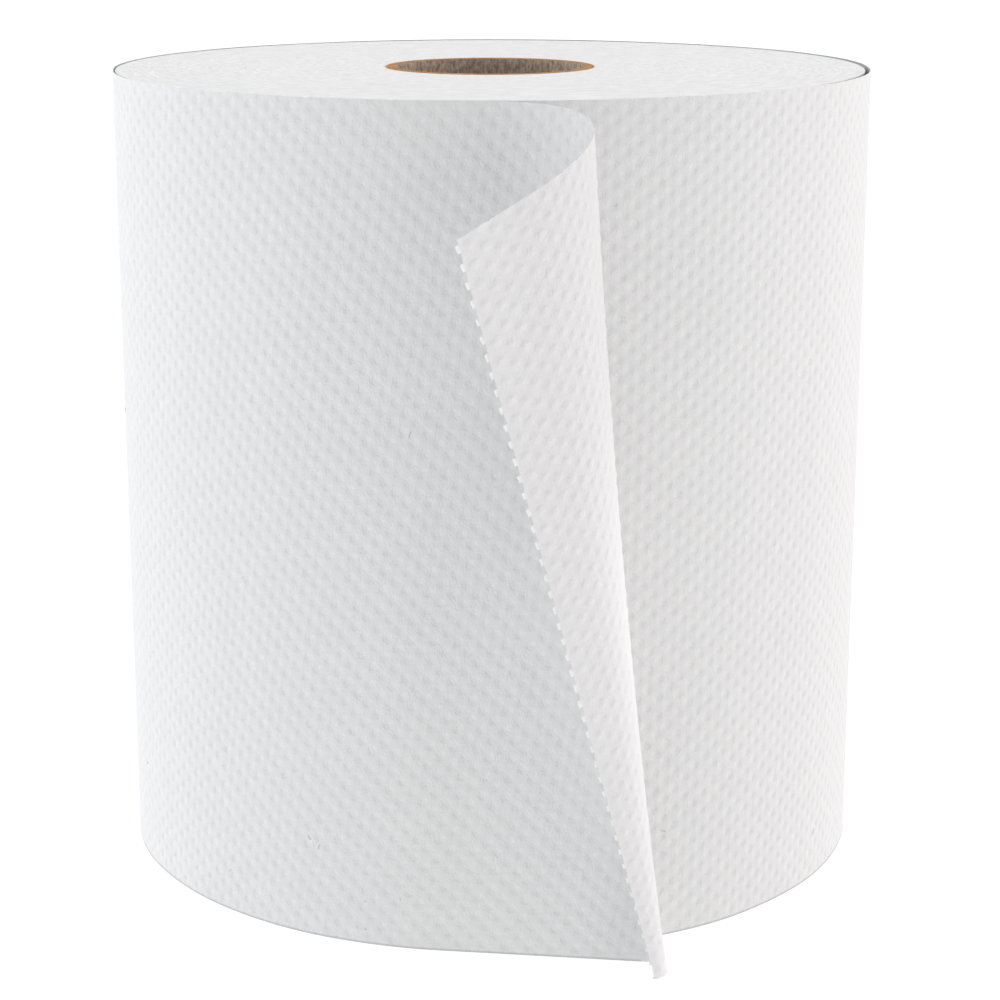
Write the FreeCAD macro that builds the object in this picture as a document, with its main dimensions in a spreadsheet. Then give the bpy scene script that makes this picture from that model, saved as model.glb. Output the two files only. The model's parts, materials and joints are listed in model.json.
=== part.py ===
import FreeCAD, Part
import math
import os

import Sketcher
from FreeCAD import Vector

# Hard-wound paper towel roll that stands on its end. The paper is one continuous web:
# its wound turns, a loose last turn with air behind it, and a free end that leaves the
# roll at the front, curls round towards the viewer and folds back over itself. The web
# is wound on a cardboard core tube, which stays open from end to end.
# The roll's axis is Z, the base is at Z = 0 and the free end points to -Y.

# Driving dimensions in millimetres and degrees. Angles run from +X towards +Y.
SIZES = {
    # Roll and core
    "roll_diameter": 200.0,
    "web_width": 209.5,
    "core_bore": 50.8,
    "core_wall": 2.4,
    # Loose last turn: sheet thickness and the air behind it
    "sheet_gauge": 0.4,
    "gap_right": 1.2,
    "gap_left": 0.4,
    "gap_front": 0.3,
    "leave_angle": 262.6,
    "tuck_angle": 18.0,
    # Free end: straight run, curl and flap along the top and the bottom edge
    "top_run": 11.1,
    "top_curl": 71.3,
    "top_flap": 14.4,
    "bottom_run": 51.7,
    "bottom_curl": 13.0,
    "tail_turn": 147.9,
    "tail_droop": 28.8,
    "fold_bow": 1.9,
    # Torn perforation along the leading edge
    "tab_count": 47,
    "tab_width": 1.6,
    "tab_reach": 0.65,
    # Spiral line of the turns, pressed into both end faces
    "line_turns": 4,
    "line_width": 0.35,
    "line_depth": 0.3,
    "line_margin": 5.0,
}

# Sampling of the curves that have no arcs
LAST_TURN_STEPS = 48
LAST_TURN_PANELS = 4
RUN_STEPS = 2
CURL_STEPS = 16
TAIL_ROWS = 3

# Shares of the sheet gauge: how deep the last turn starts inside the wound turns, and
# how far the tabs lie inside both faces of the sheet. Then a tab's share of its pitch.
TUCK_DEPTH = 1.5
TAB_INSET = 0.05
TAB_FILL = 0.8

doc = FreeCAD.newDocument("towel_roll_model")


# Spreadsheet of the driving dimensions
sheet = doc.addObject("Spreadsheet::Sheet", "sizes")
for row, (name, value) in enumerate(SIZES.items(), start=1):
    sheet.set(f"A{row}", name)
    sheet.set(f"B{row}", str(value))
    sheet.setAlias(f"B{row}", name)
doc.recompute()


def size(name):
    return float(sheet.get(name))


CORE_RADIUS = "(sizes.core_bore / 2 + sizes.core_wall)"
WOUND_RADIUS = "((sizes.roll_diameter - sizes.gap_left - sizes.gap_right) / 2 - sizes.sheet_gauge)"

web_width = size("web_width")
gauge = size("sheet_gauge")
core_radius = size("core_bore") / 2 + size("core_wall")
wound_radius = (size("roll_diameter") - size("gap_left") - size("gap_right")) / 2 - gauge


# A ring padded upwards from the base, with its two radii and its height bound to the sheet
def ring_body(label, inner, outer, height):
    body = doc.addObject("PartDesign::Body", label)
    body.Label = label
    section = body.newObject("Sketcher::SketchObject", label + "_section")
    base_plane = [plane for plane in body.Origin.OriginFeatures if plane.Role == "XY_Plane"][0]
    section.AttachmentSupport = [(base_plane, "")]
    section.MapMode = "FlatFace"
    starting_radius = 10.0
    for name, expression in (("inner", inner), ("outer", outer)):
        circle = section.addGeometry(Part.Circle(Vector(), Vector(0, 0, 1), starting_radius), False)
        section.addConstraint(Sketcher.Constraint("Coincident", circle, 3, -1, 1))
        radius = section.addConstraint(Sketcher.Constraint("Radius", circle, starting_radius))
        section.renameConstraint(radius, name)
        section.setExpression("Constraints." + name, expression)
        starting_radius *= 2
    pad = body.newObject("PartDesign::Pad", label + "_pad")
    pad.Profile = section
    pad.setExpression("Length", height)
    body.Tip = pad
    return body


# A computed shape as an object of the document
def feature(label, shape):
    thing = doc.addObject("Part::Feature", label)
    thing.Label = label
    thing.Shape = shape
    thing.Placement = FreeCAD.Placement()
    return thing


def polar(radius, degrees, height):
    angle = math.radians(degrees)
    return Vector(radius * math.cos(angle), radius * math.sin(angle), height)


def smooth(share):
    return share * share * (3 - 2 * share)


# Closed solid between the outer and the inner face of a stretch of the web. Each face
# is a grid of points: columns run along the web, rows run up it. The stretch is cut
# into panels along the web, which share one smooth surface on each side.
def web_solid(outer, inner, panels):
    skins = []
    for grid in (outer, inner):
        skin = Part.BSplineSurface()
        skin.interpolate(grid)
        skins.append(skin)
    faces = []
    for panel in range(panels):
        lips = []
        for skin in skins:
            u_start, u_end, v_start, v_end = skin.bounds()
            step = (u_end - u_start) / panels
            piece = skin.copy()
            piece.segment(u_start + step * panel, u_start + step * (panel + 1), v_start, v_end)
            faces.append(piece.toShape())
            lips.append([piece.vIso(v_start).toShape(), piece.vIso(v_end).toShape()])
        for outer_lip, inner_lip in zip(*lips):
            faces.append(Part.makeRuledSurface(outer_lip, inner_lip))
    for end in (0, 1):
        outer_lip, inner_lip = [skin.uIso(skin.bounds()[end]).toShape() for skin in skins]
        faces.append(Part.makeRuledSurface(outer_lip, inner_lip))
    shell = Part.makeShell(faces)
    shell.sewShape()
    solid = Part.makeSolid(shell)
    if solid.Volume < 0:
        solid.reverse()
    return solid


# Air behind the loose last turn, by angle: it starts tucked under the wound turns,
# stands off most at the right and lies closer again at the left and at the front.
leave_angle = size("leave_angle")
start_angle = leave_angle - 360
GAP_STATIONS = [
    (start_angle, -TUCK_DEPTH * gauge),
    (start_angle + size("tuck_angle"), size("gap_front")),
    (0.0, size("gap_right")),
    (180.0, size("gap_left")),
    (leave_angle, size("gap_front")),
]


def gap_at(degrees):
    for (before, low), (after, high) in zip(GAP_STATIONS, GAP_STATIONS[1:]):
        if degrees <= after:
            return low + (high - low) * smooth((degrees - before) / (after - before))
    return GAP_STATIONS[-1][1]


def last_turn_solid():
    outer = []
    inner = []
    for step in range(LAST_TURN_STEPS + 1):
        degrees = start_angle + 360 * step / LAST_TURN_STEPS
        inner_radius = wound_radius + gap_at(degrees)
        outer.append([polar(inner_radius + gauge, degrees, height) for height in (0.0, web_width)])
        inner.append([polar(inner_radius, degrees, height) for height in (0.0, web_width)])
    return web_solid(outer, inner, LAST_TURN_PANELS)


# One edge of the free end, from where it leaves the roll. It runs straight on, then
# turns away from the roll at an even rate, then lies straight as the flap. It sinks
# more steeply the further it has turned.
def tail_edge(run, curl, flap, droop, height):
    point = polar(wound_radius + size("gap_front") + gauge, leave_angle, height)
    heading = math.radians(leave_angle + 90)
    points = [point]
    stretches = [(run / RUN_STEPS, 0.0)] * RUN_STEPS
    for step in range(CURL_STEPS):
        travelled = (curl + flap) * (step + 0.5) / CURL_STEPS
        turned = math.radians(size("tail_turn")) * min(travelled / curl, 1)
        stretches.append(((curl + flap) / CURL_STEPS, turned))
    for length, turned in stretches:
        fall = math.tan(math.radians(droop)) * (1 - math.cos(turned)) / 2
        direction = Vector(math.cos(heading - turned), math.sin(heading - turned), -fall)
        point = point + direction * length
        points.append(point)
    return points


# Outer and inner face of the free end. The fold bows slightly between its two edges.
def tail_grids():
    top = tail_edge(size("top_run"), size("top_curl"), size("top_flap"), size("tail_droop"), web_width)
    bottom = tail_edge(size("bottom_run"), size("bottom_curl"), 0.0, 0.0, 0.0)
    outer = []
    for step in range(len(top)):
        along_curl = max(step - RUN_STEPS, 0) / CURL_STEPS
        bow = size("fold_bow") * math.sin(math.pi * along_curl) ** 2
        column = []
        for row in range(TAIL_ROWS):
            share = row / (TAIL_ROWS - 1)
            point = bottom[step] * (1 - share) + top[step] * share
            column.append(point - Vector(bow * 4 * share * (1 - share), 0, 0))
        outer.append(column)
    inner = []
    for step, column in enumerate(outer):
        before = outer[max(step - 1, 0)]
        after = outer[min(step + 1, len(outer) - 1)]
        inner_column = []
        for row, point in enumerate(column):
            along = after[row] - before[row]
            inwards = Vector(-along.y, along.x, 0).normalize()
            inner_column.append(point + inwards * gauge)
        inner.append(inner_column)
    return outer, inner


# The torn perforation: short tabs that stand out of the leading edge
def tab_solids(outer):
    low = outer[-1][0]
    high = outer[-1][-1]
    up = (high - low).normalize()
    pitch = (high - low).Length / size("tab_count")
    tabs = []
    for number in range(int(size("tab_count"))):
        share = (number + 0.5) / size("tab_count")
        place = low * (1 - share) + high * share
        before = outer[-2][0] * (1 - share) + outer[-2][-1] * share
        out = (place - before).normalize()
        thick = out.cross(up).normalize()
        out = up.cross(thick)
        width = min(size("tab_width"), TAB_FILL * pitch)
        inset = TAB_INSET * gauge
        tab = Part.makeBox(2 * size("tab_reach"), width, gauge - 2 * inset)
        corner = place - out * size("tab_reach") - up * (width / 2) - thick * (gauge - inset)
        tab.Placement = FreeCAD.Placement(corner, FreeCAD.Rotation(out, up, thick, "XYZ"))
        tabs.append(tab)
    return tabs


# Groove cutter for the spiral line on an end face, as deep below the face as above it.
# Half circles follow each other about two centres, each one wider than the last.
def turn_line(face_height):
    first = core_radius + size("line_margin")
    last = wound_radius - size("line_margin")
    halves = int(2 * size("line_turns"))
    growth = (last - first) / halves
    height = 2 * size("line_depth")
    rings = []
    for number in range(halves):
        upper = number % 2 == 0
        centre = Vector(-growth / 2 if upper else growth / 2, 0, face_height - size("line_depth"))
        radius = first + growth * number
        ring = Part.makeCylinder(radius + size("line_width"), height, centre, Vector(0, 0, 1), 180)
        ring = ring.cut(Part.makeCylinder(radius, height, centre, Vector(0, 0, 1), 180))
        if not upper:
            ring.rotate(centre, Vector(0, 0, 1), 180)
        rings.append(ring)
    return rings


# Core tube
core_tube = ring_body("core_tube", "sizes.core_bore / 2", CORE_RADIUS, "sizes.web_width")

# The web: wound turns, last turn and free end, joined as one solid
wound_turns = ring_body("wound_turns", CORE_RADIUS, WOUND_RADIUS, "sizes.web_width")
turn_lines = feature("turn_lines", Part.makeCompound(turn_line(0.0) + turn_line(web_width)))
lined_turns = doc.addObject("Part::Cut", "lined_turns")
lined_turns.Base = wound_turns
lined_turns.Tool = turn_lines
last_turn = feature("last_turn", last_turn_solid())
tail_outer, tail_inner = tail_grids()
run_grids = (tail_outer[:RUN_STEPS + 1], tail_inner[:RUN_STEPS + 1])
curl_grids = (tail_outer[RUN_STEPS:], tail_inner[RUN_STEPS:])
tail_run = feature("tail_run", web_solid(*run_grids, 1))
tail_curl = feature("tail_curl", web_solid(*curl_grids, CURL_STEPS))
tabs = feature("tabs", Part.makeCompound(tab_solids(tail_outer)))
towel_roll = doc.addObject("Part::MultiFuse", "towel_roll")
towel_roll.Label = "towel_roll"
towel_roll.Shapes = [lined_turns, last_turn, tail_run, tail_curl, tabs]
doc.recompute()

# Check every object before anything is written
for thing in doc.Objects:
    if "Invalid" in thing.State or "Error" in thing.State:
        raise RuntimeError(thing.Label + " failed to build")

os.makedirs("parts", exist_ok=True)
for part in (core_tube, towel_roll):
    shape = part.Shape
    if shape.isNull() or not shape.isValid():
        raise RuntimeError(part.Label + " has no valid shape")
    if len(shape.Solids) != 1:
        raise RuntimeError(part.Label + " is not one solid")
    print(part.Label, "volume", round(shape.Volume), "mm3")
    shape.exportStep("parts/" + part.Label + ".step")
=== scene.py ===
import json
import math
import random

import bpy
import numpy as np
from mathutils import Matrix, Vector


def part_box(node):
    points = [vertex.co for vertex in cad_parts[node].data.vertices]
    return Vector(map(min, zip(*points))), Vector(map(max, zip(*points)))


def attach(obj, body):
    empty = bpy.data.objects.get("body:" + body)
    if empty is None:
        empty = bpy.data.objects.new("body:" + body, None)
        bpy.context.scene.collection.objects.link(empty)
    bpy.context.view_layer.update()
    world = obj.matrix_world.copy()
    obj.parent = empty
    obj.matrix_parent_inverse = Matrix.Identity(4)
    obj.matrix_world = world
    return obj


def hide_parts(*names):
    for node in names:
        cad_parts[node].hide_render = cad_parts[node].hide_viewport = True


# Hard-wound paper towel roll on its end, with its torn free end folded back at the front.
# Metres and degrees. The roll's axis is Z, the viewer stands at -Y, angles run from +X to +Y.
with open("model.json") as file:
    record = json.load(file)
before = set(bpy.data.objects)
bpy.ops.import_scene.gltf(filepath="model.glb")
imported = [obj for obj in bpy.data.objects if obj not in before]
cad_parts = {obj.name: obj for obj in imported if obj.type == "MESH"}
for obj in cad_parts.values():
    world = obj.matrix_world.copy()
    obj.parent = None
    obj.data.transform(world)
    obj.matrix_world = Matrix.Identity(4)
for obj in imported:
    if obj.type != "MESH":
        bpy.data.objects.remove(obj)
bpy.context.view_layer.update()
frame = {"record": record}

MM = 0.001

# From the frame: the roll's outside, its height, and the core's two radii
roll_low, roll_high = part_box("towel_roll")
core_low, core_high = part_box("core_tube")
ROLL_DIAMETER = roll_high.x - roll_low.x
HEIGHT = core_high.z
CORE_OUTER = core_high.x
CORE_INNER = frame["record"]["mounts"][0]["dims"]["r_mm"] * MM

# The loose last turn: air behind it, the solid's sheet and the real sheet
GAP_RIGHT = 1.2 * MM
GAP_LEFT = 0.4 * MM
GAP_FRONT = 0.3 * MM
SOLID_SHEET = 0.4 * MM
SHEET = 0.25 * MM
LEAVE_ANGLE = 262.6
TUCK_ANGLE = 18.0
WOUND_RADIUS = (ROLL_DIAMETER - GAP_RIGHT - GAP_LEFT) / 2 - SOLID_SHEET
WEB_RADIUS = WOUND_RADIUS + GAP_FRONT + SOLID_SHEET
TURN_LENGTH = 2 * math.pi * WEB_RADIUS
START_OVERLAP = 6 * MM
RIPPLE = 0.06 * MM
RIPPLE_FADE = 30.0

# The free end, along its top and its bottom edge
TOP_RUN = 11.1 * MM
TOP_CURL = 71.3 * MM
TOP_FLAP = 14.4 * MM
BOTTOM_RUN = 51.7 * MM
BOTTOM_CURL = 13.0 * MM
TAIL_TURN = 147.9
TAIL_DROOP = 28.8
FOLD_BOW = 1.9 * MM
TOP_LENGTH = TOP_RUN + TOP_CURL + TOP_FLAP
BOTTOM_LENGTH = BOTTOM_RUN + BOTTOM_CURL
TAIL_LENGTH = (TOP_LENGTH + BOTTOM_LENGTH) / 2

# Embossed dots: a staggered lattice that leans by a few degrees, more near the free end
DOT_PITCH_ALONG = 5.8 * MM
DOT_ROWS = 43
DOT_PITCH_UP = HEIGHT / DOT_ROWS
DOT_RADIUS = 1.65 * MM
DOT_DEPTH = 0.2 * MM
DOT_FINE_DEPTH = 0.165 * MM
# The fold runs over the sheet in a line, and the dots are nearly flat on it
FOLD_AT_FOOT = 74.2 * MM
FOLD_SLANT = -0.146
FOLD_HALF_WIDTH = 6.0 * MM
FOLD_DOT_SHARE = 0.2
LEAN_AT_LEAVE = 0.145
LEAN_AT_START = 0.02
STEPS_ALONG = 8
STEPS_UP = 6
BEHIND_SINK = 1.7 * DOT_DEPTH

# Torn tabs of the leading edge: smaller at the low tip
TAB_COUNT = 47
TAB_WIDTH = 1.7 * MM
TAB_REACH = 0.78 * MM
TAB_OVERLAP = 0.1 * MM
TIP_TAB_SIZE = 0.62
TIP_TAB_SHARE = 0.4

# End faces and core
TURN_PITCH = 1.2 * MM
TURN_RELIEF = 0.05 * MM
RIM_DROP = 0.15 * MM
CORE_PLY_LEAD = 92.0 * MM
WOUND_SEGMENTS = 192
CORE_SEGMENTS = 160

# Stray fibres lie just on the paper, which is inside the solid's face
FIBRE_RADIUS = 0.05 * MM
FIBRE_SINK = 0.05 * MM

# Colours in linear red, green and blue, each from its darkest to its lightest
FRONT_PAPER = ((0.798, 0.805, 0.801), (0.818, 0.825, 0.820))
# Painted light: the reverse paper is lighter than the front, standing in for the light the flap catches
REVERSE_PAPER_PAINTED_LIGHTER = ((0.916, 0.916, 0.916), (0.934, 0.934, 0.931))
# Painted shade: grey for the paper in the gap behind the last turn and on the wound turns' wall
GAP_PAINTED_SHADE = ((0.46, 0.46, 0.46), (0.56, 0.56, 0.56))
TURN_EDGES = ((0.715, 0.724, 0.718), (0.844, 0.853, 0.844))
# Painted light: the board's streaks inside the tube, painted lighter than board, standing in for light in the
# tube
CORE_INSIDE_PAINTED_LIGHTER = ((0.21, 0.17, 0.125), (0.67, 0.55, 0.43))
CORE_CUT = ((0.31, 0.145, 0.042), (0.53, 0.275, 0.09))
FIBRE_GREY = ((0.30, 0.29, 0.28), (0.54, 0.52, 0.50))
SHADE_GREY = (0.42, 0.42, 0.42, 1)

# Painted shade: the paper gets darker grey along the sheet from one place to another, high up, by a share: on
# the front into the curl of the free end, on the reverse towards the fold
FRONT_SHADE = (-8 * MM, 38 * MM, 0.37)
REVERSE_SHADE = (75 * MM, 45 * MM, 0.36)
SHADE_HEIGHTS = (80 * MM, 160 * MM)
# Painted contact shadow: the paper is darker grey at its foot, short of a place along the sheet
FOOT_HEIGHTS = (0.1 * MM, 0.8 * MM)
FOOT_SHADE = 0.6
FOOT_SHADE_END = 66 * MM
# Light comes through the free end from the first place on, and fully from the second
THROUGH_PLACES = (48 * MM, 76 * MM)
THROUGH_SHARE = 0.2

# Studio: red, green and blue of the light from the left and from the right, then plain levels
LIGHT_LEFT = (2.06, 2.06, 2.17)
LIGHT_RIGHT = (2.08, 1.97, 1.99)
LIGHT_BACK = 4.25
LIGHT_ABOVE = 0.68
LIGHT_HORIZON = 0.5
FLOOR_REACH = 25.0
FLOOR_GREY = (0.12, 0.12, 0.12, 1)
FLOOR_GLOW = 0.96

# Camera: the photo's place and lens
CAMERA_BACK = 0.66991
CAMERA_UP = 0.26275
CAMERA_TILT = 75.557
CAMERA_LENS = 89.62
CAMERA_SHIFT = 0.0100

random.seed(7)


# Node trees

def plug(tree, socket, value):
    if isinstance(value, bpy.types.NodeSocket):
        tree.links.new(value, socket)
    else:
        socket.default_value = value


def node(tree, kind, inputs=None, **settings):
    made = tree.nodes.new(kind)
    for name, value in settings.items():
        setattr(made, name, value)
    for name, value in (inputs or {}).items():
        plug(tree, made.inputs[name], value)
    return made


def calc(tree, operation, *values):
    made = tree.nodes.new("ShaderNodeMath")
    made.operation = operation
    for socket, value in zip(made.inputs, values):
        plug(tree, socket, value)
    return made.outputs[0]


def vector(tree, x, y, z):
    return node(tree, "ShaderNodeCombineXYZ", {"X": x, "Y": y, "Z": z}).outputs[0]


def axes_of(tree, source):
    return node(tree, "ShaderNodeSeparateXYZ", {"Vector": source}).outputs


# Place of a noise with its own scale on each axis
def stretched(tree, axes, scales):
    return vector(tree, *(calc(tree, "MULTIPLY", axis, scale) for axis, scale in zip(axes, scales)))


def stored(tree, name, kind):
    made = node(tree, "GeometryNodeInputNamedAttribute", data_type=kind)
    made.inputs["Name"].default_value = name
    return made.outputs["Attribute"]


# A geometry tree with its named inputs: sizes are numbers, and "Geometry" comes first
def sized_tree(name, sizes, materials):
    tree = bpy.data.node_groups.new(name, "GeometryNodeTree")
    tree.interface.new_socket("Geometry", in_out="INPUT", socket_type="NodeSocketGeometry")
    for label, value in sizes.items():
        kind = "NodeSocketInt" if isinstance(value, int) else "NodeSocketFloat"
        tree.interface.new_socket(label, in_out="INPUT", socket_type=kind).default_value = value
    for label in materials:
        tree.interface.new_socket(label, in_out="INPUT", socket_type="NodeSocketMaterial")
    tree.interface.new_socket("Geometry", in_out="OUTPUT", socket_type="NodeSocketGeometry")
    return tree, node(tree, "NodeGroupInput").outputs


# Ends a geometry tree: instances made real, then each material on its own faces
def finish_tree(tree, geometry, materials):
    shown = node(tree, "GeometryNodeRealizeInstances", {"Geometry": geometry}).outputs[0]
    for material, chosen in materials:
        painted = node(tree, "GeometryNodeSetMaterial", {"Geometry": shown, "Material": material})
        if chosen is not None:
            plug(tree, painted.inputs["Selection"], chosen)
        shown = painted.outputs[0]
    plug(tree, node(tree, "NodeGroupOutput").inputs[0], shown)


# The plain object that a tree makes from a base object, which goes away
def grown(base, tree, name, **inputs):
    modifier = base.modifiers.new(name, "NODES")
    modifier.node_group = tree
    for item in tree.interface.items_tree:
        label = item.name.lower().replace(" ", "_")
        if item.in_out == "INPUT" and label in inputs:
            modifier[item.identifier] = inputs[label]
    evaluated = base.evaluated_get(bpy.context.evaluated_depsgraph_get())
    mesh = bpy.data.meshes.new_from_object(evaluated)
    base.modifiers.clear()
    bpy.data.objects.remove(base)
    mesh.name = name
    return placed(name, mesh)


def placed(name, mesh):
    thing = bpy.data.objects.new(name, mesh)
    bpy.context.scene.collection.objects.link(thing)
    return thing


# A mesh of points and faces, smooth, with named point values, face flags and a sheet UV map
def meshed(name, points, faces, values=None, flags=None, sheet=None):
    mesh = bpy.data.meshes.new(name)
    mesh.from_pydata(points, [], faces)
    for label, numbers in (values or {}).items():
        kind = "FLOAT_VECTOR" if np.ndim(numbers) == 2 else "FLOAT"
        store = mesh.attributes.new(label, kind, "POINT")
        store.data.foreach_set("vector" if kind == "FLOAT_VECTOR" else "value", np.ravel(numbers))
    for label, chosen in (flags or {}).items():
        mesh.attributes.new(label, "BOOLEAN", "FACE").data.foreach_set("value", chosen)
    if sheet is not None:
        corners = np.empty(len(mesh.loops), int)
        mesh.loops.foreach_get("vertex_index", corners)
        mesh.uv_layers.new(name="sheet").data.foreach_set("uv", np.ravel(sheet[corners]))
    mesh.shade_smooth()
    mesh.update()
    return mesh


# Quads of a grid of points, columns first. Closed grids run back to their first column or row.
def grid_quads(columns, rows, first=0, closed_columns=False, closed_rows=False):
    column = np.arange(columns if closed_columns else columns - 1)
    row = np.arange(rows if closed_rows else rows - 1)
    c, r = np.meshgrid(column, row, indexing="ij")
    c, r = c.ravel(), r.ravel()
    after_c, after_r = (c + 1) % columns, (r + 1) % rows
    corners = (c * rows + r, after_c * rows + r, after_c * rows + after_r, c * rows + after_r)
    return first + np.stack(corners, 1)


# Shape of the web in the sheet's own coordinates: u along it, z up

def smooth(share):
    return share * share * (3 - 2 * share)


# Inner radius of the last turn by angle, measured back from the leaving line
def last_turn_radius(turned):
    stations = (
        (-360.0, -SOLID_SHEET),
        (-360.0 + TUCK_ANGLE, GAP_FRONT),
        (-LEAVE_ANGLE, GAP_RIGHT),
        (180.0 - LEAVE_ANGLE, GAP_LEFT),
        (0.0, GAP_FRONT),
    )
    gap = np.full_like(turned, -SOLID_SHEET)
    for (before, low), (after, high) in zip(stations, stations[1:]):
        share = np.clip((turned - before) / (after - before), 0, 1)
        gap = np.where(turned >= before, low + (high - low) * smooth(share), gap)
    ripple = np.sin(np.radians(turned) * 11) + np.sin(np.radians(turned) * 17 + 1.3)
    fade = np.clip(-turned / RIPPLE_FADE, 0, 1) * np.clip((turned + 360) / RIPPLE_FADE, 0, 1)
    return WOUND_RADIUS + gap + RIPPLE * ripple * fade


# Points along one edge of the free end, at the given distances from the leaving line
def tail_edge(distance, run, curl, flap, droop, height):
    steps = 600
    along = np.linspace(0, run + curl + flap, steps + 1)
    middle = (along[1:] + along[:-1]) / 2
    turned = np.radians(TAIL_TURN) * np.clip((middle - run) / curl, 0, 1)
    heading = math.radians(LEAVE_ANGLE + 90) - turned
    fall = math.tan(math.radians(droop)) * (1 - np.cos(turned)) / 2
    step = np.stack([np.cos(heading), np.sin(heading), -fall], 1) * (along[1] - along[0])
    leave = math.radians(LEAVE_ANGLE)
    start = np.array([WEB_RADIUS * math.cos(leave), WEB_RADIUS * math.sin(leave), height])
    path = np.vstack([start, start + np.cumsum(step, 0)])
    return np.stack([np.interp(distance, along, path[:, axis]) for axis in range(3)], -1)


# Outer face of the free end at u along the sheet and z up it, both as grids
def tail_face(u, z):
    share = z / HEIGHT
    run = BOTTOM_RUN + (TOP_RUN - BOTTOM_RUN) * share
    length = BOTTOM_LENGTH + (TOP_LENGTH - BOTTOM_LENGTH) * share
    on_run = np.clip(u / run, 0, 1)
    on_curl = np.clip((u - run) / (length - run), 0, 1)
    bottom = tail_edge(on_run * BOTTOM_RUN + on_curl * BOTTOM_CURL, BOTTOM_RUN, BOTTOM_CURL, 0, 0, 0)
    top_curl = on_curl * (TOP_CURL + TOP_FLAP)
    top = tail_edge(on_run * TOP_RUN + top_curl, TOP_RUN, TOP_CURL, TOP_FLAP, TAIL_DROOP, HEIGHT)
    face = bottom + (top - bottom) * share[..., None]
    face[..., 0] -= FOLD_BOW * np.sin(np.pi * on_curl) ** 2 * 4 * share * (1 - share)
    return face


def wall_face(u, z):
    turned = np.degrees(u / WEB_RADIUS)
    radius = last_turn_radius(turned) + SOLID_SHEET
    angle = np.radians(LEAVE_ANGLE + turned)
    return np.stack([radius * np.cos(angle), radius * np.sin(angle), z], -1)


# The web's outer face from its start under the leaving line to the torn edge, as a grid of
# points whose columns follow the leaning lattice, with the lattice place of each point
def web_grid():
    step = DOT_PITCH_ALONG / STEPS_ALONG
    turn_columns = math.ceil((TURN_LENGTH + START_OVERLAP) / step)
    tail_columns = round(TAIL_LENGTH / step)
    place = np.arange(-turn_columns, tail_columns + 1) * step
    rows = np.linspace(0, HEIGHT, DOT_ROWS * STEPS_UP + 1)
    place, z = np.meshgrid(place, rows, indexing="ij")
    around = np.clip(-place / TURN_LENGTH, 0, 1)
    lean = LEAN_AT_LEAVE + (LEAN_AT_START - LEAN_AT_LEAVE) * around
    leaning = lean * (z - HEIGHT / 2)
    torn_edge = BOTTOM_LENGTH + (TOP_LENGTH - BOTTOM_LENGTH) * z / HEIGHT
    to_edge = np.clip(place / (tail_columns * step), 0, 1)
    u = np.where(place > 0, leaning * (1 - to_edge) + torn_edge * to_edge, place + leaning)
    face = np.where((u > 0)[..., None], tail_face(np.maximum(u, 0), z), wall_face(np.minimum(u, 0), z))
    return face, np.stack([place, z], -1), turn_columns


# Outward direction of a grid of points
def grid_normals(face):
    along = np.gradient(face, axis=0)
    up = np.gradient(face, axis=1)
    normal = np.cross(along, up)
    return normal / np.linalg.norm(normal, axis=-1, keepdims=True)


# The web as one closed sheet: outer face, inner face (coarse behind the turn), and its edges
def web_base():
    face, lattice, turn_columns = web_grid()
    normal = grid_normals(face)
    columns, rows = face.shape[:2]
    outer = face - normal * (SOLID_SHEET - SHEET) / 2
    inner = outer - normal * SHEET
    split = turn_columns
    # Behind the turn there are few points, below the deepest dots except at the two edges
    coarse = np.array([0, 3, *range(DOT_ROWS, rows - 1, DOT_ROWS), rows - 4, rows - 1])
    behind = inner[:split + 1, coarse]
    behind[:, 1:-1] -= normal[:split + 1, coarse[1:-1]] * BEHIND_SINK
    reverse = inner[split:]
    points = np.concatenate([part.reshape(-1, 3) for part in (outer, behind, reverse)])
    behind_first = columns * rows
    reverse_first = behind_first + behind.shape[0] * len(coarse)
    outer_quads = grid_quads(columns, rows)
    behind_quads = grid_quads(split + 1, len(coarse), behind_first)[:, ::-1]
    reverse_quads = grid_quads(columns - split, rows, reverse_first)[:, ::-1]

    def outer_at(column, row):
        return column * rows + row

    def behind_at(column, row):
        return behind_first + column * len(coarse) + (len(coarse) - 1 if row else 0)

    def reverse_at(column, row):
        return reverse_first + (column - split) * rows + row

    rim = []
    for column in range(columns - 1):
        after = column + 1
        inner_at = behind_at if column < split else reverse_at
        for row, flip in ((rows - 1, 1), (0, -1)):
            edge = (outer_at(column, row), outer_at(after, row), inner_at(after, row), inner_at(column, row))
            rim.append(edge[::flip])
    last = columns - 1
    for row in range(rows - 1):
        low_pair = (outer_at(last, row), reverse_at(last, row))
        rim.append((*low_pair, reverse_at(last, row + 1), outer_at(last, row + 1)))
    faces = [*outer_quads.tolist(), *behind_quads.tolist(), *reverse_quads.tolist(), *rim]
    weight = np.zeros(len(points))
    weight[:columns * rows] = 1
    weight[reverse_first:] = -1
    places = [part.reshape(-1, 2) for part in (lattice, lattice[:split + 1, coarse], lattice[split:])]
    # Both inner faces take the second paper
    is_reverse = np.zeros(len(faces), bool)
    is_reverse[len(outer_quads):len(faces) - len(rim)] = True
    column_of_face = np.concatenate([
        outer_quads[:, 0] // rows,
        (behind_quads[:, 0] - behind_first) // len(coarse),
        (reverse_quads[:, 0] - reverse_first) // rows + split,
        np.repeat(np.arange(columns - 1), 2),
        np.full(rows - 1, columns - 2),
    ])
    mesh = meshed("web", points, faces, {"relief": weight}, {"reverse": is_reverse}, np.concatenate(places))
    mesh.attributes.new("column", "INT", "FACE").data.foreach_set("value", column_of_face)
    edge = outer[-1] * 0.5 + inner[-1] * 0.5
    before = outer[-2] * 0.5 + inner[-2] * 0.5
    root = [
        (outer_at(split, row), outer_at(split, row + 1), reverse_first + row + 1, reverse_first + row)
        for row in range(rows - 1)
    ]
    return mesh, split, root, edge, before, normal[-1]


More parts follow.
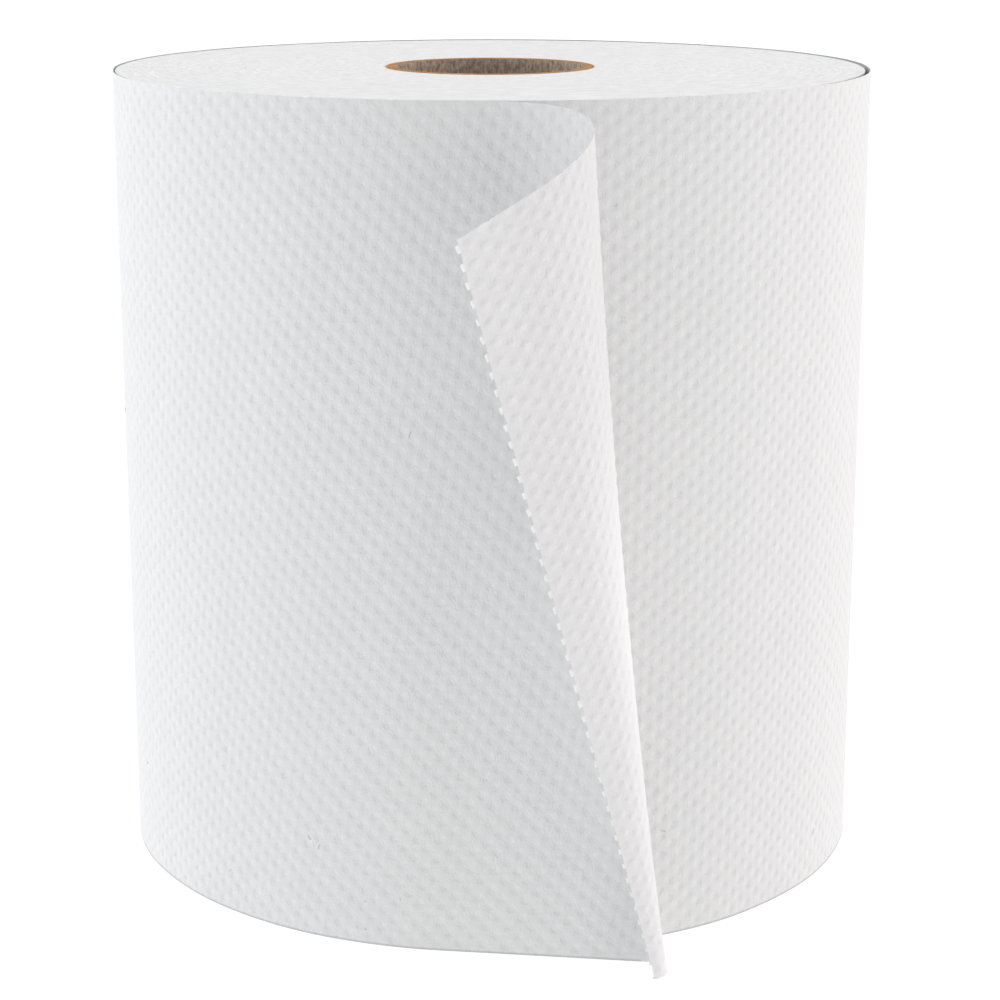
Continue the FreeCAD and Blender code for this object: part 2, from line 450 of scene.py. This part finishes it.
# Part of the web between two of its columns, with the whole web's normals, so that the
# cuts don't show. Closing quads are set over a cut.
def web_piece(web, name, first, last, materials, closing=()):
    mesh = web.data
    count = len(mesh.polygons)
    column = np.empty(count, int)
    mesh.attributes["column"].data.foreach_get("value", column)
    kept = (column >= first) & (column < last)
    corners = np.empty(len(mesh.loops), int)
    mesh.loops.foreach_get("vertex_index", corners)
    corners = corners.reshape(count, 4)[kept]
    points = np.empty(len(mesh.vertices) * 3)
    mesh.vertices.foreach_get("co", points)
    normals = np.empty(count * 12)
    mesh.corner_normals.foreach_get("vector", normals)
    place = np.empty(count * 8)
    mesh.uv_layers["sheet"].data.foreach_get("uv", place)
    slot = np.empty(count, int)
    mesh.polygons.foreach_get("material_index", slot)
    shade = normals.reshape(count, 4, 3)[kept]
    place = place.reshape(count, 4, 2)[kept]
    slot = slot[kept]
    if closing:
        corners = np.concatenate([corners, closing])
        shade = np.concatenate([shade, np.zeros((len(closing), 4, 3))])
        place = np.concatenate([place, np.zeros((len(closing), 4, 2))])
        slot = np.concatenate([slot, np.zeros(len(closing), int)])
    used, faces = np.unique(corners, return_inverse=True)
    made = bpy.data.meshes.new(name)
    made.from_pydata(points.reshape(-1, 3)[used], [], faces.reshape(-1, 4))
    made.uv_layers.new(name="sheet").data.foreach_set("uv", place.ravel())
    for material in materials:
        made.materials.append(material)
    made.polygons.foreach_set("material_index", slot)
    made.shade_smooth()
    made.normals_split_custom_set(shade.reshape(-1, 3))
    return placed(name, made)


# Depth share of the staggered dots at a place on the sheet
def pressed_dots(tree, along, up, pitch_along, pitch_up, radius):
    along = calc(tree, "DIVIDE", along, pitch_along)
    up = calc(tree, "DIVIDE", up, pitch_up)
    distances = []
    for shift in (0.5, 0.0):
        across = calc(tree, "SUBTRACT", calc(tree, "FRACT", calc(tree, "ADD", along, shift)), 0.5)
        above = calc(tree, "SUBTRACT", calc(tree, "FRACT", calc(tree, "ADD", up, shift)), 0.5)
        across = calc(tree, "MULTIPLY", across, pitch_along)
        above = calc(tree, "MULTIPLY", above, pitch_up)
        squares = calc(tree, "MULTIPLY_ADD", across, across, calc(tree, "MULTIPLY", above, above))
        distances.append(calc(tree, "SQRT", squares))
    share = calc(tree, "MINIMUM", calc(tree, "DIVIDE", calc(tree, "MINIMUM", *distances), radius), 1.0)
    return calc(tree, "POWER", calc(tree, "SUBTRACT", 1.0, calc(tree, "MULTIPLY", share, share)), 2.0)


# Presses the dots into a sheet: "relief" is 1 on its outer face and -1 on its reverse
def embossing_tree():
    sizes = {
        "Pitch along": DOT_PITCH_ALONG, "Pitch up": DOT_PITCH_UP, "Dot radius": DOT_RADIUS,
        "Dot depth": DOT_DEPTH, "Edge": 1.6 * MM, "Cockle": 0.02 * MM,
        "Fold at foot": FOLD_AT_FOOT, "Fold slant": FOLD_SLANT,
    }
    tree, given = sized_tree("embossed_sheet", sizes, ["Front paper", "Reverse paper"])
    along, up, _ = axes_of(tree, stored(tree, "sheet", "FLOAT_VECTOR"))
    bowl = pressed_dots(tree, along, up, given["Pitch along"], given["Pitch up"], given["Dot radius"])
    uneven = node(tree, "ShaderNodeTexNoise", {"Scale": 210.0, "Detail": 1.0}).outputs[0]
    uneven = calc(tree, "MULTIPLY_ADD", uneven, 1.2, 0.4)
    height = axes_of(tree, node(tree, "GeometryNodeInputPosition").outputs[0])[2]
    from_edge = calc(tree, "MINIMUM", height, calc(tree, "SUBTRACT", HEIGHT, height))
    from_edge = calc(tree, "DIVIDE", calc(tree, "MAXIMUM", from_edge, 0.0), given["Edge"])
    depth = calc(tree, "MULTIPLY", calc(tree, "MINIMUM", from_edge, 1.0), given["Dot depth"])
    dot = calc(tree, "MULTIPLY", calc(tree, "MULTIPLY", bowl, uneven), depth)
    fold = calc(tree, "MULTIPLY_ADD", up, given["Fold slant"], given["Fold at foot"])
    from_fold = calc(tree, "ABSOLUTE", calc(tree, "SUBTRACT", along, fold))
    flattened = calc(tree, "MINIMUM", calc(tree, "DIVIDE", from_fold, FOLD_HALF_WIDTH), 1.0)
    dot = calc(tree, "MULTIPLY", dot, calc(tree, "MAXIMUM", flattened, FOLD_DOT_SHARE))
    cockle = node(tree, "ShaderNodeTexNoise", {"Scale": 130.0, "Detail": 2.0}).outputs[0]
    cockle = calc(tree, "MULTIPLY", calc(tree, "SUBTRACT", cockle, 0.5), given["Cockle"])
    press = calc(tree, "MULTIPLY", calc(tree, "ADD", dot, cockle), stored(tree, "relief", "FLOAT"))
    inwards = calc(tree, "MULTIPLY", press, -1.0)
    normal = node(tree, "GeometryNodeInputNormal").outputs[0]
    shift = node(tree, "ShaderNodeVectorMath", {"Scale": inwards}, operation="SCALE")
    plug(tree, shift.inputs[0], normal)
    moved = node(tree, "GeometryNodeSetPosition", {"Geometry": given["Geometry"], "Offset": shift.outputs[0]})
    reverse = stored(tree, "reverse", "BOOLEAN")
    finish_tree(tree, moved.outputs[0], [(given["Front paper"], None), (given["Reverse paper"], reverse)])
    return tree


# A ring turned from a closed outline of (radius, height, value) points
def turned_ring(name, outline, segments, label):
    outline = np.array(outline)
    angle = np.linspace(0, 2 * math.pi, segments, endpoint=False)
    turned, radius = np.meshgrid(angle, outline[:, 0], indexing="ij")
    height = np.broadcast_to(outline[:, 1], radius.shape)
    points = np.stack([radius * np.cos(turned), radius * np.sin(turned), height], -1).reshape(-1, 3)
    faces = grid_quads(segments, len(outline), 0, True, True)
    values = {label: np.broadcast_to(outline[:, 2], radius.shape).ravel()}
    return placed(name, meshed(name, points, faces.tolist(), values))


# Wound turns: both end faces have a ring of points for each quarter of a turn line
def wound_base():
    rings = round((WOUND_RADIUS - CORE_OUTER) / TURN_PITCH * 4)
    radii = np.linspace(CORE_OUTER, WOUND_RADIUS, rings + 1)
    low, high = RIM_DROP, HEIGHT - RIM_DROP
    undercut = 0.5 * MM
    # Up the outside and inwards over the top, which turns the faces outwards
    bottom = [(radius, low, -1.0) for radius in radii]
    foot = [(WOUND_RADIUS, low + undercut, 0.0), (WOUND_RADIUS - undercut, low + 2 * undercut, 0.0)]
    wall = [(WOUND_RADIUS - undercut, high - 2 * undercut, 0.0), (WOUND_RADIUS, high - undercut, 0.0)]
    top = [(radius, high, 1.0) for radius in radii[::-1]]
    return turned_ring("wound_base", bottom + foot + wall + top, WOUND_SEGMENTS, "end")


# Raises the spiral of the turns on the end faces, stronger in some stretches than in others
def turns_tree():
    sizes = {"Turn pitch": TURN_PITCH, "Relief": TURN_RELIEF}
    tree, given = sized_tree("spiral_turns", sizes, ["End paper", "Wall paper"])
    x, y, _ = axes_of(tree, node(tree, "GeometryNodeInputPosition").outputs[0])
    radius = calc(tree, "SQRT", calc(tree, "MULTIPLY_ADD", x, x, calc(tree, "MULTIPLY", y, y)))
    angle = calc(tree, "ARCTAN2", y, x)
    turn = calc(tree, "DIVIDE", angle, 2 * math.pi)
    phase = calc(tree, "SUBTRACT", calc(tree, "DIVIDE", radius, given["Turn pitch"]), turn)
    wave = calc(tree, "SINE", calc(tree, "MULTIPLY", phase, 2 * math.pi))
    patches = node(tree, "ShaderNodeTexNoise", {"Scale": 28.0, "Detail": 2.0}).outputs[0]
    bands = stretched(tree, (x, y, radius), (12.0, 12.0, 420.0))
    bands = node(tree, "ShaderNodeTexNoise", {"Vector": bands, "Scale": 1.0, "Detail": 3.0}).outputs[0]
    bands = calc(tree, "MULTIPLY", calc(tree, "SUBTRACT", bands, 0.5), 3.0)
    height = calc(tree, "MULTIPLY_ADD", wave, calc(tree, "MULTIPLY", patches, 0.8), bands)
    end = stored(tree, "end", "FLOAT")
    height = calc(tree, "MULTIPLY", calc(tree, "MULTIPLY", height, given["Relief"]), end)
    rise = vector(tree, 0.0, 0.0, height)
    moved = node(tree, "GeometryNodeSetPosition", {"Geometry": given["Geometry"], "Offset": rise})
    wall = calc(tree, "LESS_THAN", calc(tree, "ABSOLUTE", end), 0.75)
    finish_tree(tree, moved.outputs[0], [(given["End paper"], None), (given["Wall paper"], wall)])
    return tree


# Core tube with softly rounded lips. "rough" is how fibrous each place is.
def core_base():
    lip = 0.35 * MM
    corner = [(math.cos(turn), math.sin(turn)) for turn in np.radians([0, 30, 60, 90])]
    inner, outer = CORE_INNER + lip, CORE_OUTER - lip
    low, high = lip, HEIGHT - lip
    inside = [(CORE_INNER, z, 1.0) for z in np.linspace(high, low, 105)[1:-1]]
    outline = [(inner - lip * c, low - lip * s, 0.5) for c, s in corner]
    outline += [(radius, 0.0, 1.0) for radius in np.linspace(inner, outer, 6)[1:-1]]
    outline += [(outer + lip * c, low - lip * s, 0.0) for c, s in corner[::-1]]
    outline += [(outer + lip * c, high + lip * s, 0.0) for c, s in corner]
    outline += [(radius, HEIGHT, 1.0) for radius in np.linspace(outer, inner, 6)[1:-1]]
    outline += [(inner - lip * c, high + lip * s, 0.5) for c, s in corner[::-1]]
    return turned_ring("core_base", outline + inside, CORE_SEGMENTS, "rough")


# Fibrous surface of the board and the groove between two neighbouring plies of the tube
def board_tree():
    sizes = {
        "Fibre": 0.05 * MM, "Ply lead": CORE_PLY_LEAD, "Seam width": 2.2 * MM, "Seam depth": 0.15 * MM,
    }
    tree, given = sized_tree("spiral_board", sizes, ["Board"])
    x, y, z = axes_of(tree, node(tree, "GeometryNodeInputPosition").outputs[0])
    turn = calc(tree, "DIVIDE", calc(tree, "ARCTAN2", y, x), 2 * math.pi)
    phase = calc(tree, "ADD", calc(tree, "DIVIDE", z, given["Ply lead"]), turn)
    off = calc(tree, "ABSOLUTE", calc(tree, "SUBTRACT", calc(tree, "FRACT", phase), 0.5))
    off = calc(tree, "DIVIDE", calc(tree, "MULTIPLY", off, given["Ply lead"]), given["Seam width"])
    groove = calc(tree, "MAXIMUM", calc(tree, "SUBTRACT", 1.0, off), 0.0)
    seam = calc(tree, "MULTIPLY", groove, given["Seam depth"])
    fibre = node(tree, "ShaderNodeTexNoise", {"Scale": 900.0, "Detail": 3.0}).outputs[0]
    fibre = calc(tree, "MULTIPLY", calc(tree, "SUBTRACT", fibre, 0.5), given["Fibre"])
    depth = calc(tree, "MULTIPLY", calc(tree, "SUBTRACT", fibre, seam), stored(tree, "rough", "FLOAT"))
    shift = node(tree, "ShaderNodeVectorMath", {"Scale": depth}, operation="SCALE")
    plug(tree, shift.inputs[0], node(tree, "GeometryNodeInputNormal").outputs[0])
    moved = node(tree, "GeometryNodeSetPosition", {"Geometry": given["Geometry"], "Offset": shift.outputs[0]})
    finish_tree(tree, moved.outputs[0], [(given["Board"], None)])
    return tree


# Points that carry an outward direction, a normal and a size for what is set on them
def anchors(name, points, outwards, normals, sizes):
    mesh = meshed(name, points, [], {"outwards": outwards, "facing": normals, "size": sizes})
    return placed(name, mesh)


# Lays one copy of a shape in the sheet at each anchor, turned outwards
def set_on_anchors(tree, given, shape, scale):
    turn = node(tree, "FunctionNodeAxesToRotation", primary_axis="Z", secondary_axis="X")
    plug(tree, turn.inputs[0], stored(tree, "facing", "FLOAT_VECTOR"))
    plug(tree, turn.inputs[1], stored(tree, "outwards", "FLOAT_VECTOR"))
    return node(tree, "GeometryNodeInstanceOnPoints", {
        "Points": given["Geometry"], "Instance": shape, "Rotation": turn.outputs[0], "Scale": scale,
    }).outputs[0]


# Short torn tabs along the leading edge, a little frayed
def tabs_tree():
    sizes = {"Reach": TAB_REACH, "Width": TAB_WIDTH, "Thickness": SHEET, "Fray": 0.12 * MM, "Seed": 5}
    tree, given = sized_tree("torn_tabs", sizes, ["Paper"])
    block = vector(tree, given["Reach"], given["Width"], given["Thickness"])
    cube = node(tree, "GeometryNodeMeshCube", {
        "Size": block, "Vertices X": 3, "Vertices Y": 5, "Vertices Z": 2,
    }).outputs[0]
    scale = node(tree, "FunctionNodeRandomValue", {"Seed": given["Seed"]}, data_type="FLOAT_VECTOR")
    scale.inputs[0].default_value = (0.85, 0.88, 1.0)
    scale.inputs[1].default_value = (1.1, 1.08, 1.0)
    sized = node(tree, "ShaderNodeVectorMath", {"Scale": stored(tree, "size", "FLOAT")}, operation="SCALE")
    plug(tree, sized.inputs[0], scale.outputs[0])
    tabs = set_on_anchors(tree, given, cube, sized.outputs[0])
    real = node(tree, "GeometryNodeRealizeInstances", {"Geometry": tabs}).outputs[0]
    fray = node(tree, "ShaderNodeTexNoise", {"Scale": 1400.0, "Detail": 1.0}).outputs[1]
    fray_middle = node(tree, "ShaderNodeVectorMath", operation="SUBTRACT")
    plug(tree, fray_middle.inputs[0], fray)
    fray_middle.inputs[1].default_value = (0.5, 0.5, 0.5)
    shift = node(tree, "ShaderNodeVectorMath", {"Scale": given["Fray"]}, operation="SCALE")
    plug(tree, shift.inputs[0], fray_middle.outputs[0])
    moved = node(tree, "GeometryNodeSetPosition", {"Geometry": real, "Offset": shift.outputs[0]})
    finish_tree(tree, moved.outputs[0], [(given["Paper"], None)])
    return tree


# Bent hair-like fibres and specks that lie on the paper
def fibres_tree():
    sizes = {"Thickness": FIBRE_RADIUS, "Bend": 0.35}
    tree, given = sized_tree("loose_fibres", sizes, ["Fibre"])
    arc = node(tree, "GeometryNodeCurveQuadraticBezier", {
        "Resolution": 6, "Start": (-0.5, 0.0, 0.0), "Middle": vector(tree, 0.0, given["Bend"], 0.0),
        "End": (0.5, 0.15, 0.0),
    }).outputs[0]
    size = stored(tree, "size", "FLOAT")
    hair = set_on_anchors(tree, given, arc, vector(tree, size, size, size))
    hair = node(tree, "GeometryNodeRealizeInstances", {"Geometry": hair}).outputs[0]
    section = node(tree, "GeometryNodeCurvePrimitiveCircle", {"Resolution": 5, "Radius": given["Thickness"]})
    tube = node(tree, "GeometryNodeCurveToMesh", {
        "Curve": hair, "Profile Curve": section.outputs[0], "Fill Caps": True,
    }).outputs[0]
    finish_tree(tree, tube, [(given["Fibre"], None)])
    return tree


# Materials

def finish(name, roughness, shine=0.5):
    material = bpy.data.materials.new(name)
    material.use_nodes = True
    tree = material.node_tree
    surface = tree.nodes["Principled BSDF"]
    surface.inputs["Roughness"].default_value = roughness
    surface.inputs["Specular IOR Level"].default_value = shine
    return material, tree, surface


def mottle(tree, place, scale, detail, roughness=0.5):
    return node(tree, "ShaderNodeTexNoise", {
        "Vector": place, "Scale": scale, "Detail": detail, "Roughness": roughness,
    }).outputs[0]


# Colour that runs from the darkest to the lightest over the middle range of a noise
def tinted(tree, value, colours):
    ramp = node(tree, "ShaderNodeValToRGB", {"Fac": value})
    for element, place, colour in zip(ramp.color_ramp.elements, (0.3, 0.7), colours):
        element.position = place
        element.color = (*colour, 1)
    return ramp.outputs[0]


# Smooth run from low to high as a value runs from the start to the end
def eased(tree, value, start, end, low, high):
    return node(tree, "ShaderNodeMapRange", {
        "Value": value, "From Min": start, "From Max": end, "To Min": low, "To Max": high,
    }, interpolation_type="SMOOTHSTEP").outputs[0]


def roughened(tree, surface, height, strength, distance):
    bump = node(tree, "ShaderNodeBump", {"Height": height, "Strength": strength, "Distance": distance})
    plug(tree, surface.inputs["Normal"], bump.outputs[0])
    return bump


# Creped tissue: cloudy formation, fine crepe across the web, a loose felt of fibres. Part of
# the light goes through it. The side is 1 for the front and -1 for the reverse.
def tissue(name, colours, through, side):
    shade_start, shade_end, shade = FRONT_SHADE if side > 0 else REVERSE_SHADE
    material, tree, surface = finish(name, 0.92, 0.05)
    place = node(tree, "ShaderNodeTexCoord").outputs["Object"]
    tone = tinted(tree, mottle(tree, place, 160, 2, 0.6), colours)
    along, up, _ = axes_of(tree, node(tree, "ShaderNodeUVMap", uv_map="sheet").outputs[0])
    # Painted shade: a painted contact shadow at the foot, and painted shade towards the fold high up on the
    # free end
    foot = eased(tree, axes_of(tree, place)[2], *FOOT_HEIGHTS, FOOT_SHADE, 0.0)
    foot = calc(tree, "MULTIPLY", foot, calc(tree, "LESS_THAN", along, FOOT_SHADE_END))
    inwards = eased(tree, along, shade_start, shade_end, 0.0, shade)
    upwards = eased(tree, up, *SHADE_HEIGHTS, 0.0, 1.0)
    painted_shade = calc(tree, "MAXIMUM", foot, calc(tree, "MULTIPLY", inwards, upwards))
    shaded = node(tree, "ShaderNodeMix", {"Factor": painted_shade}, data_type="RGBA")
    plug(tree, shaded.inputs[6], tone)
    shaded.inputs[7].default_value = SHADE_GREY
    plug(tree, surface.inputs["Base Color"], shaded.outputs[2])
    across_web = calc(tree, "MULTIPLY", along, 2600.0)
    crepe = mottle(tree, vector(tree, across_web, calc(tree, "MULTIPLY", up, 700.0), 0.0), 1, 0)
    felt = mottle(tree, place, 1500, 1, 0.6)
    grain_height = calc(tree, "MULTIPLY_ADD", crepe, 0.45, felt)
    grain = roughened(tree, surface, grain_height, 0.65, 0.2 * MM if side > 0 else 0.24 * MM)
    dots = pressed_dots(tree, along, up, DOT_PITCH_ALONG, DOT_PITCH_UP, DOT_RADIUS)
    raised = calc(tree, "MULTIPLY", dots, -side)
    pressed = node(tree, "ShaderNodeBump", {"Height": raised, "Distance": DOT_FINE_DEPTH})
    plug(tree, grain.inputs["Normal"], pressed.outputs[0])
    if through:
        behind = node(tree, "ShaderNodeBsdfTranslucent", {"Color": (*colours[1], 1)})
        # Light comes through where the free end stands off the roll
        mixed = node(tree, "ShaderNodeMixShader", {"Fac": eased(tree, along, *THROUGH_PLACES, 0.0, through)})
        plug(tree, mixed.inputs[1], surface.outputs[0])
        plug(tree, mixed.inputs[2], behind.outputs[0])
        plug(tree, tree.nodes["Material Output"].inputs["Surface"], mixed.outputs[0])
    return material


# Painted shade: the paper inside the narrow gap behind the last turn, which the photo shows as a dark line,
# is painted a grey darker than the paper
def painted_gap_shade(name):
    material, tree, surface = finish(name, 0.95, 0.0)
    place = node(tree, "ShaderNodeTexCoord").outputs["Object"]
    plug(tree, surface.inputs["Base Color"], tinted(tree, mottle(tree, place, 700, 2), GAP_PAINTED_SHADE))
    return material


# Edges of the wound turns: thin broken arcs round the axis
def turn_edges(name):
    material, tree, surface = finish(name, 0.95, 0.05)
    place = node(tree, "ShaderNodeTexCoord").outputs["Object"]
    x, y, _ = axes_of(tree, place)
    radius = calc(tree, "SQRT", calc(tree, "MULTIPLY_ADD", x, x, calc(tree, "MULTIPLY", y, y)))
    around = (calc(tree, "DIVIDE", x, radius), calc(tree, "DIVIDE", y, radius))
    arcs = mottle(tree, stretched(tree, (*around, radius), (13.0, 13.0, 900.0)), 1, 4, 0.6)
    fuzz = mottle(tree, place, 1300, 3, 0.6)
    plug(tree, surface.inputs["Base Color"], tinted(tree, arcs, TURN_EDGES))
    roughened(tree, surface, calc(tree, "MULTIPLY_ADD", arcs, 1.2, fuzz), 0.9, 0.3 * MM)
    return material


# Grey-brown board with upright streaks inside, painted lighter than board as painted light in the tube, and
# its redder cut end
def board(name):
    material, tree, surface = finish(name, 0.85, 0.25)
    place = node(tree, "ShaderNodeTexCoord").outputs["Object"]
    streaks = mottle(tree, stretched(tree, axes_of(tree, place), (1300.0, 1300.0, 650.0)), 1, 4, 0.6)
    inside = tinted(tree, streaks, CORE_INSIDE_PAINTED_LIGHTER)
    cut = tinted(tree, mottle(tree, place, 700, 3, 0.6), CORE_CUT)
    _, _, tilt = axes_of(tree, node(tree, "ShaderNodeNewGeometry").outputs["True Normal"])
    faces_up_or_down = calc(tree, "GREATER_THAN", calc(tree, "ABSOLUTE", tilt), 0.4)
    mixed = node(tree, "ShaderNodeMix", {"Factor": faces_up_or_down}, data_type="RGBA")
    plug(tree, mixed.inputs[6], inside)
    plug(tree, mixed.inputs[7], cut)
    plug(tree, surface.inputs["Base Color"], mixed.outputs[2])
    roughened(tree, surface, mottle(tree, place, 1400, 4, 0.6), 0.6, 0.15 * MM)
    return material


def stray_fibre(name):
    material, tree, surface = finish(name, 0.8)
    place = node(tree, "ShaderNodeTexCoord").outputs["Object"]
    plug(tree, surface.inputs["Base Color"], tinted(tree, mottle(tree, place, 60, 1), FIBRE_GREY))
    return material


# Studio

# Soft light boxes at the left and right, one high up behind the roll, and a pale horizon
def studio_sky():
    world = bpy.data.worlds.new("studio_sky")
    world.use_nodes = True
    tree = world.node_tree
    x, y, z = axes_of(tree, node(tree, "ShaderNodeTexCoord").outputs["Generated"])
    up = calc(tree, "MAXIMUM", z, 0.0)
    left = calc(tree, "MAXIMUM", calc(tree, "MULTIPLY", x, -1.0), 0.0)
    left = calc(tree, "MULTIPLY", left, left)
    right = calc(tree, "MAXIMUM", x, 0.0)
    right = calc(tree, "MULTIPLY", right, right)
    raised = calc(tree, "MULTIPLY", up, up)
    back = calc(tree, "MULTIPLY", calc(tree, "MAXIMUM", y, 0.0), raised)
    above = calc(tree, "MULTIPLY", raised, raised)
    horizon = calc(tree, "POWER", calc(tree, "SUBTRACT", 1.0, up), 24.0)
    even = calc(tree, "MULTIPLY", horizon, LIGHT_HORIZON)
    even = calc(tree, "MULTIPLY_ADD", above, LIGHT_ABOVE, even)
    even = calc(tree, "MULTIPLY_ADD", back, LIGHT_BACK, even)
    levels = []
    for left_level, right_level in zip(LIGHT_LEFT, LIGHT_RIGHT):
        level = calc(tree, "MULTIPLY_ADD", left, left_level, even)
        levels.append(calc(tree, "MULTIPLY_ADD", right, right_level, level))
    colour = node(tree, "ShaderNodeCombineColor", {"Red": levels[0], "Green": levels[1], "Blue": levels[2]})
    plug(tree, tree.nodes["Background"].inputs["Color"], colour.outputs[0])
    bpy.context.scene.world = world


def white_floor():
    corners = [(FLOOR_REACH * x, FLOOR_REACH * y, 0) for x, y in ((-1, -1), (1, -1), (1, 1), (-1, 1))]
    mesh = meshed("studio_floor", corners, [(0, 1, 2, 3)])
    floor = placed("studio_floor", mesh)
    material, _, surface = finish("studio_white", 1.0, 0.0)
    surface.inputs["Base Color"].default_value = FLOOR_GREY
    surface.inputs["Emission Color"].default_value = (1, 1, 1, 1)
    surface.inputs["Emission Strength"].default_value = FLOOR_GLOW
    mesh.materials.append(material)


def photo_camera():
    lens = bpy.data.cameras.new("photo_camera")
    lens.lens = CAMERA_LENS
    lens.shift_x = CAMERA_SHIFT
    camera = bpy.data.objects.new("photo_camera", lens)
    camera.location = (0, -CAMERA_BACK, CAMERA_UP)
    camera.rotation_euler = (math.radians(CAMERA_TILT), 0, 0)
    bpy.context.scene.collection.objects.link(camera)
    bpy.context.scene.camera = camera


# The roll, piece by piece

front = tissue("front_paper", FRONT_PAPER, 0.0, 1)
tail_front = tissue("free_end_front_paper", FRONT_PAPER, THROUGH_SHARE, 1)
# The free end's reverse and the tabs take the paper painted lighter, as painted light
tail_back = tissue("free_end_reverse_paper", REVERSE_PAPER_PAINTED_LIGHTER, THROUGH_SHARE, -1)
tab_paper = tissue("torn_tab_paper", REVERSE_PAPER_PAINTED_LIGHTER, 0.0, 1)
ends = turn_edges("wound_edges")
# Painted shade for the gap, on the last turn's inner face and on the wound turns' wall
gap_shade_paper = painted_gap_shade("paper_in_the_gap")
cardboard = board("spiral_board")
fluff = stray_fibre("stray_fibres")

base_mesh, split, root, torn_edge, before_edge, edge_normal = web_base()
last_column = split + round(TAIL_LENGTH / (DOT_PITCH_ALONG / STEPS_ALONG))
web_sheet = placed("web_base", base_mesh)
web = grown(web_sheet, embossing_tree(), "web", front_paper=front, reverse_paper=tail_back)
web.data.set_sharp_from_angle(angle=math.radians(50))
cuts = [0, round(split / 3), round(2 * split / 3), split]
turn_pieces = [
    web_piece(web, "last_turn_%d" % (index + 1), first, last, [front, gap_shade_paper])
    for index, (first, last) in enumerate(zip(cuts, cuts[1:]))
]
free_end = web_piece(web, "free_end", split, last_column, [tail_front, tail_back], root)
bpy.data.objects.remove(web)

# The wound turns' wall takes the painted gap shade
wound = grown(wound_base(), turns_tree(), "wound_turns", end_paper=ends, wall_paper=gap_shade_paper)
core = grown(core_base(), board_tree(), "core_board", board=cardboard)

share = (np.arange(TAB_COUNT) + 0.2) / (TAB_COUNT - 0.3) * (len(torn_edge) - 1)
rows = np.arange(len(torn_edge))
spots, outwards, facing = (
    np.stack([np.interp(share, rows, grid[:, axis]) for axis in range(3)], -1)
    for grid in (torn_edge, torn_edge - before_edge, edge_normal)
)
tab_size = np.interp(share / share[-1], (0, TIP_TAB_SHARE), (TIP_TAB_SIZE, 1.0))
reach = TAB_REACH * tab_size / 2 - TAB_OVERLAP
spots += outwards / np.linalg.norm(outwards, axis=1, keepdims=True) * reach[:, None]
tab_anchors = anchors("tab_anchors", spots, outwards, facing, tab_size)
tabs = grown(tab_anchors, tabs_tree(), "torn_tabs", paper=tab_paper)

# Specks and short hairs: degrees back from the leaving line, millimetres up, length, lean
seen = [
    (-3.4, 131.1, 2.0, 60), (-10.8, 11.2, 0.6, 20), (-5.5, 13.0, 0.6, 100), (-10.8, 3.9, 0.6, 140),
    (-335.4, 185.0, 0.6, 40), (-34.8, 10.6, 1.5, 30), (-19.5, 26.1, 1.4, 120), (-17.9, 23.9, 1.3, 70),
    (-336.6, 11.9, 1.5, 10), (-326.8, 28.3, 1.4, 150),
]
strewn = [
    (-random.uniform(20, 300), random.uniform(3, 205), random.uniform(0.4, 1.7), random.uniform(0, 180))
    for _ in range(14)
]
turned, height, size, lean = np.array(seen + strewn).T
spots = wall_face(np.radians(turned) * WEB_RADIUS, height * MM)
facing = spots * (1, 1, 0)
facing /= np.linalg.norm(facing, axis=1, keepdims=True)
spots -= facing * FIBRE_SINK
sideways = np.cross((0, 0, 1), facing)
outwards = sideways * np.cos(np.radians(lean))[:, None] + np.outer(np.sin(np.radians(lean)), (0, 0, 1))
hair_anchors = anchors("hair_anchors", spots, outwards, facing, size * MM)
hairs = grown(hair_anchors, fibres_tree(), "stray_fibres", fibre=fluff)

for piece in (*turn_pieces, free_end, wound, tabs, hairs):
    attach(piece, "root")
for piece in (*turn_pieces, free_end, wound, tabs):
    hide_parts("towel_roll")
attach(core, "root")
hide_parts("core_tube")

studio_sky()
white_floor()
photo_camera()
bpy.context.scene.view_settings.view_transform = "Standard"
